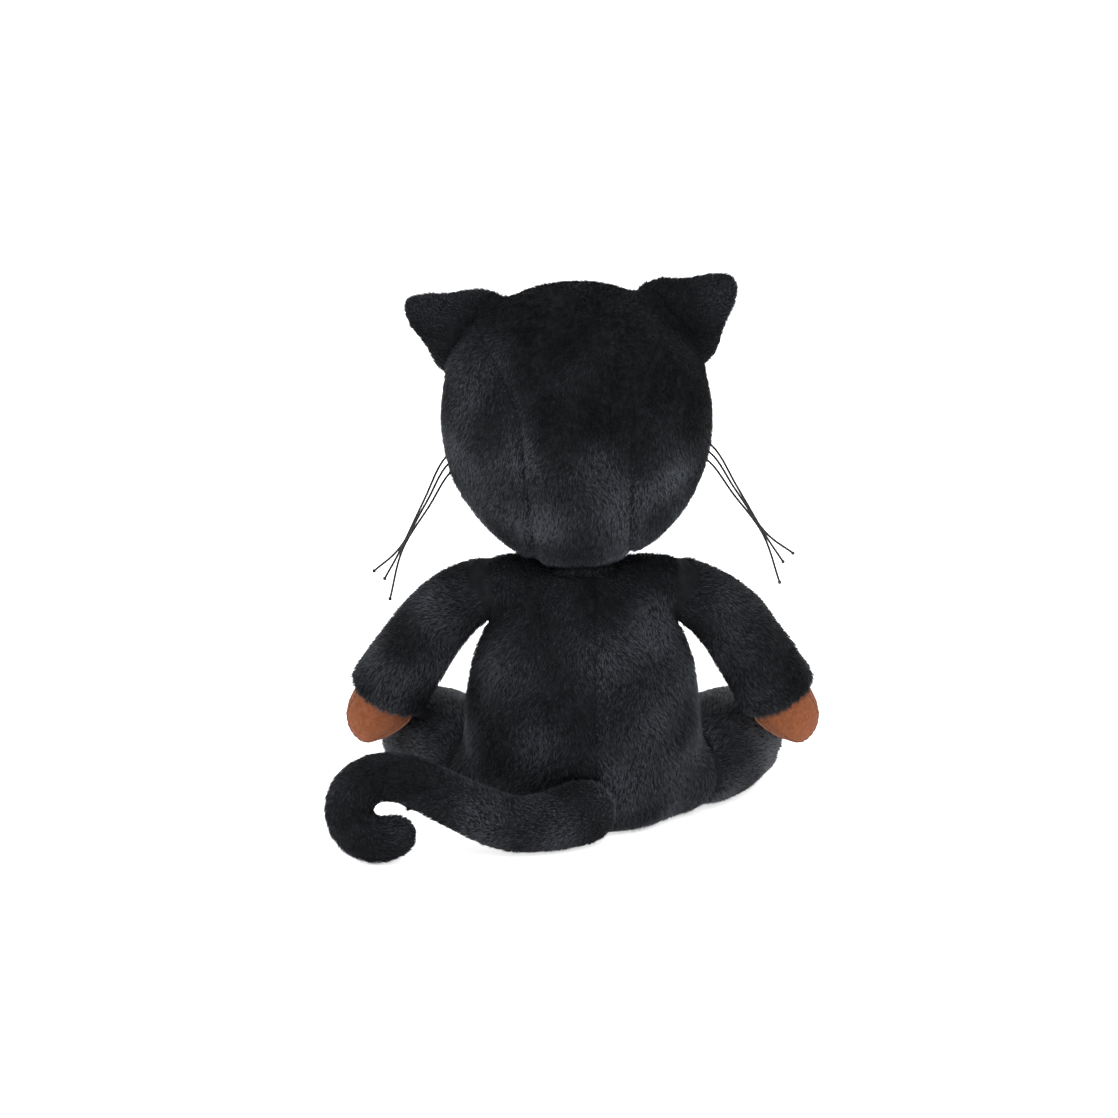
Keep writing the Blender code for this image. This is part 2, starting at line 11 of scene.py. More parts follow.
import bpy
import numpy as np
from mathutils import Matrix, Vector
from mathutils.bvhtree import BVHTree
from mathutils.kdtree import KDTree


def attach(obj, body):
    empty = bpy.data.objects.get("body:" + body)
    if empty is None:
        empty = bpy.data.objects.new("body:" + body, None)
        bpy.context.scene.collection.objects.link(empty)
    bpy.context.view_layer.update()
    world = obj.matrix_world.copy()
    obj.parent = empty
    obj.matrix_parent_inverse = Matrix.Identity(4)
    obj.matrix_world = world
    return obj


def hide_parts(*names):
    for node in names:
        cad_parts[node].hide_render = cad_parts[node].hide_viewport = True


MM = 0.001
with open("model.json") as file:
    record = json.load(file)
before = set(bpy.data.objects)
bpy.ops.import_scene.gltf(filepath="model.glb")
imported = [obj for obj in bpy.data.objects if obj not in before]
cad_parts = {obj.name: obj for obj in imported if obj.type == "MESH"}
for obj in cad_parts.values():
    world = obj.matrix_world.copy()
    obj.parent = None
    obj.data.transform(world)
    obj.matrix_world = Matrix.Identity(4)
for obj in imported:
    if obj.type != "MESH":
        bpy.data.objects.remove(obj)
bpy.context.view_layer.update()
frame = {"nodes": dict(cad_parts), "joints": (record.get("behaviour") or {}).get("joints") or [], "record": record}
NODES = frame["nodes"]
bpy.ops.object.select_all(action="DESELECT")

# %% [markdown]
# ## Finishes
# One helper adds a node with its settings, values and links, so that each finish below reads as a recipe.


# %% Finish helpers
def linear(hex_colour):
    """The linear colour of an sRGB hex value."""
    channels = [int(hex_colour[i : i + 2], 16) / 255 for i in (1, 3, 5)]
    return [c / 12.92 if c <= 0.04045 else ((c + 0.055) / 1.055) ** 2.4 for c in channels] + [1]


def add_node(tree, kind, settings=None, values=None, links=None):
    node = tree.nodes.new(kind)
    for key, value in (settings or {}).items():
        setattr(node, key, value)
    for key, value in (values or {}).items():
        node.inputs[key].default_value = value
    for key, socket in (links or {}).items():
        tree.links.new(socket, node.inputs[key])
    return node


def finish_named(name, roughness, specular=0.5, sheen=0.0, sheen_roughness=0.5, coat=0.0):
    """A new material, its node tree, its shader and the object coordinates it reads."""
    material = bpy.data.materials.new(name)
    material.use_nodes = True
    tree = material.node_tree
    shader = tree.nodes["Principled BSDF"]
    shader.inputs["Roughness"].default_value = roughness
    shader.inputs["Specular IOR Level"].default_value = specular
    shader.inputs["Sheen Weight"].default_value = sheen
    shader.inputs["Sheen Roughness"].default_value = sheen_roughness
    shader.inputs["Coat Weight"].default_value = coat
    place = tree.nodes.new("ShaderNodeTexCoord").outputs["Object"]
    return material, tree, shader, place


def mottled(tree, place, dark, light, grain, detail=4):
    """A colour that drifts between two hex values over about one grain, in metres."""
    noise = add_node(
        tree, "ShaderNodeTexNoise", values={"Scale": 1 / grain, "Detail": detail}, links={"Vector": place}
    )
    ramp = add_node(tree, "ShaderNodeValToRGB", links={"Fac": noise.outputs["Fac"]})
    ramp.color_ramp.elements[0].position = 0.35
    ramp.color_ramp.elements[0].color = linear(dark)
    ramp.color_ramp.elements[1].position = 0.68
    ramp.color_ramp.elements[1].color = linear(light)
    return ramp.outputs["Color"]


def bumped(tree, shader, height, depth, strength=1.0):
    bump = add_node(
        tree, "ShaderNodeBump", values={"Distance": depth, "Strength": strength}, links={"Height": height}
    )
    tree.links.new(bump.outputs["Normal"], shader.inputs["Normal"])


# %% [markdown]
# ## Camera
# The cat is looked at from straight behind and a little above. A long lens from far away keeps the
# proportions flat, as in a catalogue picture. A short lens near the cat would swell the tail.

# %% Camera
VIEW_POINT = Vector((0.0116, 0, 0.129))
VIEW_DISTANCE = 4.0
VIEW_RISE = math.radians(14)
LENS_MM = 267
camera_place = VIEW_POINT + VIEW_DISTANCE * Vector((0, math.cos(VIEW_RISE), math.sin(VIEW_RISE)))
camera_turn = (VIEW_POINT - camera_place).to_track_quat("-Z", "Y").to_euler()
bpy.ops.object.camera_add(location=camera_place, rotation=camera_turn)
camera = bpy.context.object
camera.name = "catalogue_camera"
camera.data.lens = LENS_MM
camera.data.sensor_width = 36
bpy.context.scene.camera = camera

# %% [markdown]
# ## Floor and light
# White paper under an even white sky shows the black outline cleanly, and the paper glows a little, which
# washes the shadow out. A broad softbox above the camera gives the pile its dull highlights. A weaker one
# from the side keeps the seams readable, and one in front lights the face.

# %% Floor, sky and softboxes
SKY_STRENGTH = 1.08
PAPER_GLOW = 0.7
LAMP_TARGET = Vector((0, 0, 0.12))
bpy.ops.mesh.primitive_plane_add(size=40, location=(0, 0, 0))
floor = bpy.context.object
floor.name = "studio_floor"


def studio_paper():
    """Matt white background paper with a faint fibre."""
    material, tree, shader, place = finish_named("white_studio_paper", 0.95, specular=0.0)
    tree.links.new(mottled(tree, place, "#fbfbfb", "#ffffff", 0.02), shader.inputs["Base Color"])
    shader.inputs["Emission Color"].default_value = linear("#ffffff")
    shader.inputs["Emission Strength"].default_value = PAPER_GLOW
    return material


def softbox(name, place, size, watts):
    aim = (LAMP_TARGET - Vector(place)).to_track_quat("-Z", "Y").to_euler()
    bpy.ops.object.light_add(type="AREA", location=place, rotation=aim)
    lamp = bpy.context.object
    lamp.name = name
    lamp.data.size = size
    lamp.data.energy = watts


softbox("softbox_above", (-0.5, 1.3, 1.9), 1.2, 30)
softbox("softbox_side", (1.8, 0.9, 0.9), 1.0, 12)
softbox("softbox_front", (-0.9, -1.6, 1.2), 1.2, 12)
floor.data.materials.append(studio_paper())
sky = bpy.data.worlds.new("studio_sky")
sky.use_nodes = True
sky.node_tree.nodes["Background"].inputs["Color"].default_value = (1, 1, 1, 1)
sky.node_tree.nodes["Background"].inputs["Strength"].default_value = SKY_STRENGTH
bpy.context.scene.world = sky
bpy.context.scene.view_settings.view_transform = "Standard"

# %% [markdown]
# ### Acrylic pile
# Real pile is thousands of fine dyed fibres. The dye is nearly black and a little cool. The fibres take it
# unevenly, so four tones are mixed. The darker and brighter tones also stand for light on the pile: they are
# chosen by place below as painted shade and painted highlight, and scattered bright strands are painted glints.
# Gloss drifts over about a centimetre, where the nap was brushed.


# %% Pile tones
def pile_tone(name, colour, specular):
    material, tree, shader, place = finish_named(name, 0.5, specular=specular)
    shader.inputs["Base Color"].default_value = linear(colour)
    drift_of_gloss = add_node(
        tree, "ShaderNodeTexNoise", values={"Scale": 1 / 0.011, "Detail": 3}, links={"Vector": place}
    )
    gloss = add_node(
        tree, "ShaderNodeMapRange", values={"To Min": 0.38, "To Max": 0.72},
        links={"Value": drift_of_gloss.outputs["Fac"]},
    )
    tree.links.new(gloss.outputs["Result"], shader.inputs["Roughness"])
    return material


PILE_TONES = [
    pile_tone("acrylic_pile_deep", "#090c0f", 0.08),
    pile_tone("acrylic_pile_middle", "#171a1e", 0.16),
    pile_tone("acrylic_pile_light", "#2c2f35", 0.25),
    pile_tone("acrylic_pile_bright", "#464950", 0.25),
]

# %% [markdown]
# ### Knitted backing
# Under the pile lies a thin knit, dyed with it. Its loops are about 0.9 mm, finer than the render can show
# from far, so they are drawn at 1.4 mm.


# %% Knitted backing
def knitted_backing():
    material, tree, shader, place = finish_named("knitted_backing", 0.9, specular=0.1)
    tree.links.new(mottled(tree, place, "#08090a", "#131417", 0.006), shader.inputs["Base Color"])
    loops = add_node(
        tree, "ShaderNodeTexVoronoi", {"feature": "SMOOTH_F1"}, {"Scale": 1 / 0.0014}, {"Vector": place}
    )
    bumped(tree, shader, loops.outputs["Distance"], 0.0004)
    return material


BACKING = knitted_backing()

# %% [markdown]
# ### Suede cloth
# Brushed microfibre has no gloss, a faint sheen at grazing angles and a nap under a millimetre long. Its colour is
# cloudy over about 2 mm. A paler copy paints the highlight along the rim of a turned seam.


# %% Suede cloth
def suede_cloth(name, dark, light):
    material, tree, shader, place = finish_named(name, 0.95, specular=0.05, sheen=0.04, sheen_roughness=0.6)
    tree.links.new(mottled(tree, place, dark, light, 0.0018, 8), shader.inputs["Base Color"])
    nap = add_node(
        tree, "ShaderNodeTexNoise", values={"Scale": 1 / 0.0008, "Detail": 6, "Roughness": 0.7},
        links={"Vector": place},
    )
    bumped(tree, shader, nap.outputs["Fac"], 0.0005)
    return material


SUEDE = suede_cloth("brown_suede_cloth", "#6b3d25", "#7d4930")
# A paler copy of the suede: a painted highlight along each paw's rim.
SUEDE_RIM_HIGHLIGHT = suede_cloth("brown_suede_painted_highlight", "#8a5a40", "#a87258")

# %% [markdown]
# ### Thread, cord, plastic and fillings
# Thread and cord share one twisted finish. The eyes are moulded and clear-coated, the washers are dull. The
# fillings and the pellet pouch are only seen if a seam opens, but they are finished like the rest.


# %% Thread, waxed cord, eye plastic and the hidden fillings
def thread_finish(name, dark, light):
    material, tree, shader, place = finish_named(name, 0.6, specular=0.3)
    tree.links.new(mottled(tree, place, dark, light, 0.001), shader.inputs["Base Color"])
    ply = add_node(
        tree, "ShaderNodeTexWave", {"bands_direction": "DIAGONAL"}, {"Scale": 1 / 0.004}, {"Vector": place}
    )
    bumped(tree, shader, ply.outputs["Fac"], 0.0001)
    return material


THREAD = thread_finish("brown_sewing_thread", "#4a2613", "#6b3a20")
WAXED_CORD = thread_finish("black_waxed_cord", "#0d0d0e", "#1d1c1c")
MOUTH_THREAD = thread_finish("brown_embroidery_thread", "#5a3220", "#8a5433")


def moulded_plastic(name, dark, light, roughness, coat):
    material, tree, shader, place = finish_named(name, roughness, coat=coat)
    tree.links.new(mottled(tree, place, dark, light, 0.003, 2), shader.inputs["Base Color"])
    return material


EYE_AMBER = moulded_plastic("moulded_acrylic_amber", "#6a3d0a", "#a8660f", 0.15, 0.6)
EYE_BLACK = moulded_plastic("moulded_acrylic_black", "#050505", "#0a0a0a", 0.08, 1.0)
WASHER = moulded_plastic("moulded_nylon_white", "#cfcdc6", "#e2e0da", 0.45, 0.0)


def loose_filling(name, dark, light, grain):
    material, tree, shader, place = finish_named(name, 0.95, specular=0.2)
    tree.links.new(mottled(tree, place, dark, light, grain), shader.inputs["Base Color"])
    clumps = add_node(tree, "ShaderNodeTexNoise", values={"Scale": 1 / grain}, links={"Vector": place})
    bumped(tree, shader, clumps.outputs["Fac"], grain / 3)
    return material


FIBREFILL = loose_filling("polyester_fibrefill", "#c9c8c2", "#ecebe6", 0.004)
POUCH = loose_filling("cotton_pellet_pouch", "#8f8875", "#b3ab94", 0.002)

for name, node in NODES.items():
    if name.endswith("stuffing"):
        kept = FIBREFILL
    elif name.endswith("washer"):
        kept = WASHER
    elif name == "pellet_pouch":
        kept = POUCH
    else:
        continue
    for material_slot in node.material_slots:
        material_slot.material = kept
print("finishes:", len(bpy.data.materials))

# %% [markdown]
# ## Whiskers
# Three lengths of 1 mm waxed cord leave each side of the muzzle, stand out past the cheeks and droop. Each is one
# open curve along the route that the CAD cord takes, and ends in a small knot.

# %% Whiskers
HEAD_PIVOT = Vector((0, 0, 0.130))
HEAD_ROLL = Matrix.Rotation(math.radians(2.5), 3, "Y")
WHISKER_THICKNESS = 1 * MM
WAX_COAT = 1.12  # the wax makes the cord this much thicker
KNOT_SIZE = 1.3 * MM
STEPS_PER_KNOT = 7
WHISKER_ROUTES = (
    ((25.5, -50, 170), (45, -52, 179), (64, -34, 175), (76, -22, 156), (88, -16, 134), (96.5, -12, 120.5)),
    ((26, -50.5, 166.5), (45, -53, 173), (63, -36, 171), (75, -26, 154), (88.5, -19, 134), (101.5, -14, 124)),
    ((25.5, -51, 163), (43, -53, 167), (61, -39, 167), (74, -29, 151), (87.5, -22, 132), (94.5, -15, 109.5)),
)


def smooth_route(knots, steps):
    """Points on one smooth curve through every knot."""
    knots = [knots[0] * 2 - knots[1], *knots, knots[-1] * 2 - knots[-2]]
    points = []
    for a, b, c, d in zip(knots, knots[1:], knots[2:], knots[3:]):
        for step in range(steps):
            t = step / steps
            points.append(
                0.5 * (2 * b + (c - a) * t + (2 * a - 5 * b + 4 * c - d) * t**2
                       + (3 * b - a - 3 * c + d) * t**3)
            )
    return points + [knots[-2]]


def on_head(point, side=1):
    """A point of the upright head, moved with the head's slight lean."""
    return HEAD_ROLL @ (Vector((point[0] * side, point[1], point[2])) * MM - HEAD_PIVOT) + HEAD_PIVOT


def place_piece(piece, body, material):
    """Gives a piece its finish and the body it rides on."""
    piece.data.materials.clear()
    piece.data.materials.append(material)
    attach(piece, body)


def cord_knot(name, spot, size):
    """A small overhand knot: two crossed turns of cord."""
    turns = []
    for tilt in (0.5, -0.6):
        bpy.ops.mesh.primitive_torus_add(
            major_segments=14, minor_segments=7, major_radius=size * 0.42, minor_radius=size * 0.34,
            location=spot, rotation=(tilt, tilt * 1.3, 0),
        )
        turns.append(bpy.context.object)
    bpy.ops.object.select_all(action="DESELECT")
    for turn in turns:
        turn.select_set(True)
    bpy.context.view_layer.objects.active = turns[0]
    bpy.ops.object.join()
    bpy.ops.object.transform_apply(location=True, rotation=True, scale=True)
    bpy.ops.object.shade_smooth()
    turns[0].name = name
    return turns[0]


for side_name, side in (("left", 1), ("right", -1)):
    for index, route in enumerate(WHISKER_ROUTES):
        name = f"whisker_{side_name}_{index + 1}"
        points = smooth_route([on_head(knot, side) for knot in route], STEPS_PER_KNOT)
        curve = bpy.data.curves.new(name + "_cord", "CURVE")
        curve.dimensions = "3D"
        curve.bevel_depth = WHISKER_THICKNESS * WAX_COAT / 2
        curve.bevel_resolution = 3
        curve.use_fill_caps = True
        line = curve.splines.new("POLY")
        line.points.add(len(points) - 1)
        for knot, point in zip(line.points, points):
            knot.co = (*point, 1)
        cord = bpy.data.objects.new(name + "_cord", curve)
        bpy.context.collection.objects.link(cord)
        place_piece(cord, "head", WAXED_CORD)
        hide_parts(name)
        knot = cord_knot(name + "_knot", points[-1], KNOT_SIZE)
        place_piece(knot, "head", WAXED_CORD)

# %% [markdown]
# ## Stuffed forms
# A stuffed body could be modelled from a sphere, or sculpted. Here each body's CAD panels and filling are
# copied, joined and voxel-remeshed, which closes the seams and gives one even skin in the right place. The
# large ones are then inflated as cloth with their seams held, as stuffing does.

# %% Copy, join and remesh
CLOTH_FRAMES = 20
CLOTH_CAP = 1.5 * MM


def only(piece):
    bpy.ops.object.select_all(action="DESELECT")
    piece.select_set(True)
    bpy.context.view_layer.objects.active = piece


def apply_modifier(piece, kind, **settings):
    only(piece)
    bpy.ops.object.modifier_add(type=kind)
    modifier = piece.modifiers[-1]
    for key, value in settings.items():
        setattr(modifier, key, value)
    bpy.ops.object.modifier_apply(modifier=modifier.name)


def form_from(name, node_names, voxel, smoothing, bridges=()):
    """One closed skin round several CAD nodes and the bridges of cloth between them."""
    bpy.ops.object.select_all(action="DESELECT")
    swellings = []
    for centre, size in bridges:
        place = Vector(centre) * MM
        bpy.ops.mesh.primitive_uv_sphere_add(segments=32, ring_count=16, radius=1, location=place)
        bpy.context.object.scale = Vector(size) * MM
        bpy.ops.object.transform_apply(location=True, rotation=True, scale=True)
        swellings.append(bpy.context.object)
    bpy.ops.object.select_all(action="DESELECT")
    for swelling in swellings:
        swelling.select_set(True)
    for node_name in node_names:
        part = bpy.data.objects.new(name, NODES[node_name].data.copy())
        bpy.context.collection.objects.link(part)
        part.select_set(True)
        bpy.context.view_layer.objects.active = part
    if len(node_names) + len(swellings) > 1:
        bpy.ops.object.join()
    form = bpy.context.object
    form.name = name
    bpy.ops.object.mode_set(mode="EDIT")
    bpy.ops.mesh.select_all(action="SELECT")
    bpy.ops.mesh.remove_doubles(threshold=1e-6)
    bpy.ops.object.mode_set(mode="OBJECT")
    apply_modifier(form, "REMESH", mode="VOXEL", voxel_size=voxel)
    bpy.ops.object.mode_set(mode="EDIT")
    bpy.ops.mesh.select_all(action="SELECT")
    bpy.ops.mesh.separate(type="LOOSE")
    bpy.ops.object.mode_set(mode="OBJECT")
    shells = sorted(bpy.context.selected_objects, key=lambda shell: max(shell.dimensions))
    for inner in shells[:-1]:
        bpy.data.objects.remove(inner)
    form = shells[-1]
    form.name = name
    if smoothing:
        apply_modifier(form, "SMOOTH", factor=0.5, iterations=smoothing)
    print(name, "has", len(form.data.polygons), "faces")
    return form


def points_of(piece):
    flat = np.empty(len(piece.data.vertices) * 3, np.float32)
    piece.data.vertices.foreach_get("co", flat)
    return flat.reshape(-1, 3).astype(float)


def normals_of(piece):
    flat = np.empty(len(piece.data.vertices) * 3, np.float32)
    piece.data.vertices.foreach_get("normal", flat)
    return flat.reshape(-1, 3).astype(float)


def move_points(piece, points):
    piece.data.vertices.foreach_set("co", points.astype(np.float32).ravel())
    piece.data.update()


# %% [markdown]
# ### Where the seams run
# A skin point's distances to the CAD panels tell which panel it belongs to. How much farther the next panel
# is tells how far away the seam is.


# %% Seams
NO_SEAM = 1.0  # metres: a form of one panel has no seam near
HELD_NEAR_SEAM = 3 * MM


def panel_trees(node_names):
    trees = []
    for node_name in node_names:
        mesh = NODES[node_name].data
        corners = [vertex.co for vertex in mesh.vertices]
        trees.append(BVHTree.FromPolygons(corners, [tuple(face.vertices) for face in mesh.polygons]))
    return trees


def panel_distances(points, trees):
    return np.array([[tree.find_nearest(Vector(point))[3] for tree in trees] for point in points])


def seam_distance(points, trees):
    if len(trees) < 2:
        return np.full(len(points), NO_SEAM)
    distances = np.sort(panel_distances(points, trees), axis=1)
    return distances[:, 1] - distances[:, 0]


def drift(points, span, seed):
    """Smooth random values from about -1 to 1 that change over span metres."""
    random = np.random.default_rng(seed)
    waves = random.normal(size=(7, 3))
    waves *= 2 * math.pi / span / np.linalg.norm(waves, axis=1, keepdims=True)
    return np.sin(points @ waves.T + random.uniform(0, 2 * math.pi, 7)).mean(axis=1) * 2


def inflate(form, seam, pressure):
    """Cloth with pressure inside; the seams are held and no point moves past the cap."""
    start = points_of(form)
    held = form.vertex_groups.new(name="held_at_seams")
    held.add([int(i) for i in np.flatnonzero(seam < HELD_NEAR_SEAM)], 1.0, "REPLACE")
    only(form)
    bpy.ops.object.modifier_add(type="CLOTH")
    cloth = form.modifiers[-1]
    cloth.settings.vertex_group_mass = held.name
    cloth.settings.use_pressure = True
    cloth.settings.uniform_pressure_force = pressure
    cloth.settings.effector_weights.gravity = 0
    for step in range(1, CLOTH_FRAMES + 1):
        bpy.context.scene.frame_set(step)
    bpy.ops.object.modifier_apply(modifier=cloth.name)
    bpy.context.scene.frame_set(1)
    moved = points_of(form) - start
    reach = np.linalg.norm(moved, axis=1, keepdims=True)
    moved *= np.minimum(1, CLOTH_CAP / np.maximum(reach, 1e-9))
    move_points(form, start + moved)
    form.vertex_groups.clear()
    print(form.name, "inflated; the largest move was", round(float(reach.max()) / MM, 1), "mm")


LOWEST = 0.3 * MM  # skins and tuft tips stop this far above the floor
SEAM_WIDTH = 2.4 * MM
LUMP_SPAN = 45 * MM
SKIN_RISE = 1.3 * MM  # remeshing and smoothing draw a round form in; this puts it back, under its pile


def sink_seams(form, trees, depth, width, lump, skin_rise):
    """Pulls the skin in along its seams and gives it the slight lumps of hand stuffing."""
    points, normals = points_of(form), normals_of(form)
    seam = seam_distance(points, trees)
    rise = skin_rise + lump * drift(points, LUMP_SPAN, 3) - depth * np.exp(-((seam / width) ** 2))
    points += normals * rise[:, None]
    points[:, 2] = np.maximum(points[:, 2], LOWEST)
    move_points(form, points)
    attribute = form.data.attributes.new("seam_distance", "FLOAT", "POINT")
    attribute.data.foreach_set("value", seam.astype(np.float32))


# %% [markdown]
# ### Ears
# The hinge of each CAD ear gives its base line, from which its root and its cupping are measured.

# %% Where each ear stands
EAR_HALF_BASE = 23 * MM
EAR_HEIGHT = 36 * MM
EAR_CUP = 5.5 * MM
EAR_TIP_BACK = 2.0 * MM
EAR_NARROWING = {"left": (0.14, 0.0), "right": (0.04, -0.04)}  # of the inner and the outer half, at the base
TIP_NARROWING = (0.3, 0.12)  # as well, at the tip
EAR_TIP_SINK = {"left": 2.0 * MM, "right": 0.8 * MM}  # how far cupping shortens the ear
JOINTS = {joint["name"]: joint for joint in frame["joints"]}


def ear_directions(side_name):
    hinge = JOINTS["ear_fold_" + side_name]
    across = np.array(hinge["axis"])
    return np.array(hinge["pos_m"]), across, np.array([-across[2], 0.0, across[0]])


# %% [markdown]
# ### Make the forms
# Small swellings of cloth close the gaps that the CAD leaves for motion: over the shoulders, at the hips,
# under the head and along the ear roots. A real toy's cloth gathers there.

# %% Make the forms
FORMS = {}
PANELS = {}


def stuffed_form(
    name, panels, fillings, voxel, smoothing, pressure=0.0, depth=1.2 * MM, lump=0.4 * MM, bridges=(),
    rise=SKIN_RISE,
):
    form = form_from(name + "_form", [*panels, *fillings], voxel, smoothing, bridges)
    trees = panel_trees(panels)
    if pressure:
        inflate(form, seam_distance(points_of(form), trees), pressure)
    apply_modifier(form, "SUBSURF", levels=1, render_levels=1)
    sink_seams(form, trees, depth, SEAM_WIDTH, lump, rise)
    FORMS[name] = form
    PANELS[name] = panels


SHOULDERS = [((side * 32, -1, 116), (27, 16, 15)) for side in (1, -1)]
HAUNCHES = [((side * 44, -8, 21), (21, 21, 20)) for side in (1, -1)]
NAPE = [((4, 0, 141), (31, 25, 14))]
EAR_ROOT_DEPTH = 2.5
EAR_ROOT_SIZE = (6.5, 5.5, 6.5)
EAR_ROOTS = []
for side_name in ("left", "right"):
    base, across, up = ear_directions(side_name)
    for step in (-17, -10, -3, 4, 11, 17):
        EAR_ROOTS.append((base / MM + across * step - up * EAR_ROOT_DEPTH, EAR_ROOT_SIZE))
stuffed_form(
    "torso", ["torso_back_left", "torso_back_right", "torso_belly", "torso_base"],
    ["torso_stuffing", "pellet_pouch"], 4 * MM, 3, pressure=3, depth=0.9 * MM,
    bridges=SHOULDERS + HAUNCHES,
)
stuffed_form(
    "head", ["head_gusset", "head_face", "head_side_left", "head_side_right"], ["head_stuffing"],
    4 * MM, 3, pressure=3, depth=1.5 * MM, bridges=NAPE + EAR_ROOTS,
)
for side_name in ("left", "right"):
    stuffed_form(
        "arm_" + side_name, ["arm_" + side_name, "cuff_" + side_name], [f"arm_{side_name}_stuffing"],
        2 * MM, 7, depth=0.2 * MM,
    )
    stuffed_form("leg_" + side_name, ["leg_" + side_name], [f"leg_{side_name}_stuffing"], 2.4 * MM, 3)
stuffed_form("tail", ["tail"], ["tail_stuffing"], 2.4 * MM, 3, rise=-0.2 * MM)
stuffed_form("muzzle", ["muzzle"], [], 2 * MM, 3, lump=0)
stuffed_form("neck", ["neck_plug"], [], 2.5 * MM, 3, lump=0)
for side_name in ("left", "right"):
    stuffed_form("ear_" + side_name, ["ear_" + side_name], [], 1.3 * MM, 4, lump=0)

# %% [markdown]
# ### Cupped ears
# A cut ear is flat, but its gathered base seam curls it. Its sides are drawn forward, its tip leans back a
# little, and both shorten and narrow it. The two ears differ slightly, as hand-sewn ears do.

# %% Cupped ears
def cup(piece, side_name):
    base, across, up = ear_directions(side_name)
    points = points_of(piece)
    sideways = ((points - base) @ across) / EAR_HALF_BASE
    height = np.clip(((points - base) @ up) / EAR_HEIGHT, 0, 1.1)
    points -= np.outer(height**2 * EAR_TIP_SINK[side_name], up)
    outer = sideways * (1 if side_name == "left" else -1)
    inner_cut, outer_cut = EAR_NARROWING[side_name]
    inner_tip, outer_tip = TIP_NARROWING
    narrowing = np.where(outer < 0, inner_cut + inner_tip * height**2, outer_cut + outer_tip * height**2)
    points -= np.outer(sideways * EAR_HALF_BASE * narrowing, across)
    points[:, 1] += EAR_TIP_BACK * height**2 - EAR_CUP * sideways**2 * np.clip(1.2 - 0.6 * height, 0, 1)
    move_points(piece, points)


for side_name in ("left", "right"):
    cup(FORMS["ear_" + side_name], side_name)

# %% [markdown]
# ## Pile
# Hair particles could grow the pile, but they can't be kept as solid meshes. Each fibre tuft is instead a
# slim closed spike of four faces, rooted in the backing. It leans along the nap, and neighbours lean
# together in small locks, which gives short plush its streaks.


# %% Lay of the nap, and painted shade and highlight in the pile's tones
def downward(points):
    return np.tile((0.0, 0.0, -1.0), (len(points), 1))


def along(route):
    """The nap of a limb runs from its root to its end."""
    knots = np.array([[*knot] for knot in smooth_route([Vector(knot) * MM for knot in route], 6)])
    heading = np.gradient(knots, axis=0)
    heading /= np.linalg.norm(heading, axis=1, keepdims=True)

    def lay(points):
        nearest = ((points[:, None, :] - knots[None]) ** 2).sum(axis=2).argmin(axis=1)
        return heading[nearest]

    return lay


def mirrored(route, side):
    return [(x * side, y, z) for x, y, z in route]


ARM_ROUTE = (
    (45, -2, 114), (55.5, -5, 109.8), (66.5, -9, 101), (77, -14, 87.5), (87.5, -21, 70), (95, -26, 56),
)
LEG_ROUTE = ((57.5, -25, 24.6), (67, -43, 25.5), (77, -72, 23))
TAIL_ROUTE = (
    (0, 50.5, 16.5), (16.5, 62.7, 15.2), (34, 66, 15), (51, 69, 22), (68, 72, 31), (84, 75, 39.5),
    (99, 77, 41), (109.5, 79, 34), (112, 80, 24), (107.5, 81, 15), (98, 82, 11.8), (90, 82, 13.5),
)


def head_lay(points):
    """Down the back and sides of the head, and back from the crown."""
    lay = downward(points)
    lay[:, 1] += 0.8 * np.clip((points[:, 2] - 0.235) / 0.03, 0, 1)
    return lay


def to_ear_tip(side_name):
    up = ear_directions(side_name)[2]

    def lay(points):
        return np.tile(up, (len(points), 1))

    return lay


def head_shade(points):
    """Painted shade and painted highlight in the pile's tones: darkest over the crown, where the nap is looked
    into end on, and brighter below, where it lies flat and shines. The dark crown reaches less far down the left
    cheek, which is toned down a little, and the right side is darker.
    """
    left_cheek = np.clip((points[:, 0] - 0.02) / 0.015, 0, 1)
    crown = np.clip((points[:, 2] - 0.18 - 0.05 * left_cheek) / 0.04, 0, 1)
    painted_shade_right = np.clip((-0.03 - points[:, 0]) / 0.02, 0, 1)
    return 0.85 - 0.4 * left_cheek - 2.3 * crown - 0.6 * painted_shade_right * (1 - crown)


def back_shade(points):
    """Painted shade and painted light: the left back panel takes darker tones than the right, and both darken
    towards the top.
    """
    return np.where(points[:, 0] > -0.006, 0.05, 0.65) - 0.9 * np.clip((points[:, 2] - 0.1) / 0.02, 0, 1)


# Painted light and painted shade: the left sleeve's pile takes brighter tones, the right one's darker.
def sleeve_shade(points):
    return np.where(points[:, 0] > 0, 0.3, -0.2)


# Painted shade: the ears' pile takes darker tones.
def ear_shade(points):
    return np.full(len(points), -0.3)


# Painted light: the legs' pile takes brighter tones.
def leg_shade(points):
    return np.full(len(points), 0.8)


def tail_shade(points):
    """Painted light and painted shade: the pile takes brighter tones along the tail and darker ones towards its
    curled end.
    """
    return 0.4 - 0.9 * np.clip((points[:, 0] - 0.055) / 0.02, 0, 1)


# %% [markdown]
# ### Grow the pile
# Roots are scattered evenly by area. Each tuft leans along the nap, swirls and rises a little more or less than
# its neighbours, is cropped near a seam, and takes one of the four tones, by random drift and by the painted shade
# and painted highlight of its place.


# %% Grow the pile
ROOT_DEPTH = 0.3 * MM
ROOT_CLEARANCE = 1.2 * MM  # from the floor and from a neighbouring form
RISE_LIMITS = (0.15, 1.2)  # radians above the skin
CROPPED_NEAR_SEAM = 2.2 * MM
SWIRL_SPAN, RISE_SPAN, TONE_SPAN = 30 * MM, 22 * MM, 34 * MM
TUFTS_PER_LOCK = 5
LOCK_PULL = 0.3
MIDDLE_TONE = 1.25
SPIKE_FACES = (0, 2, 1, 0, 1, 3, 1, 2, 3, 2, 0, 3)


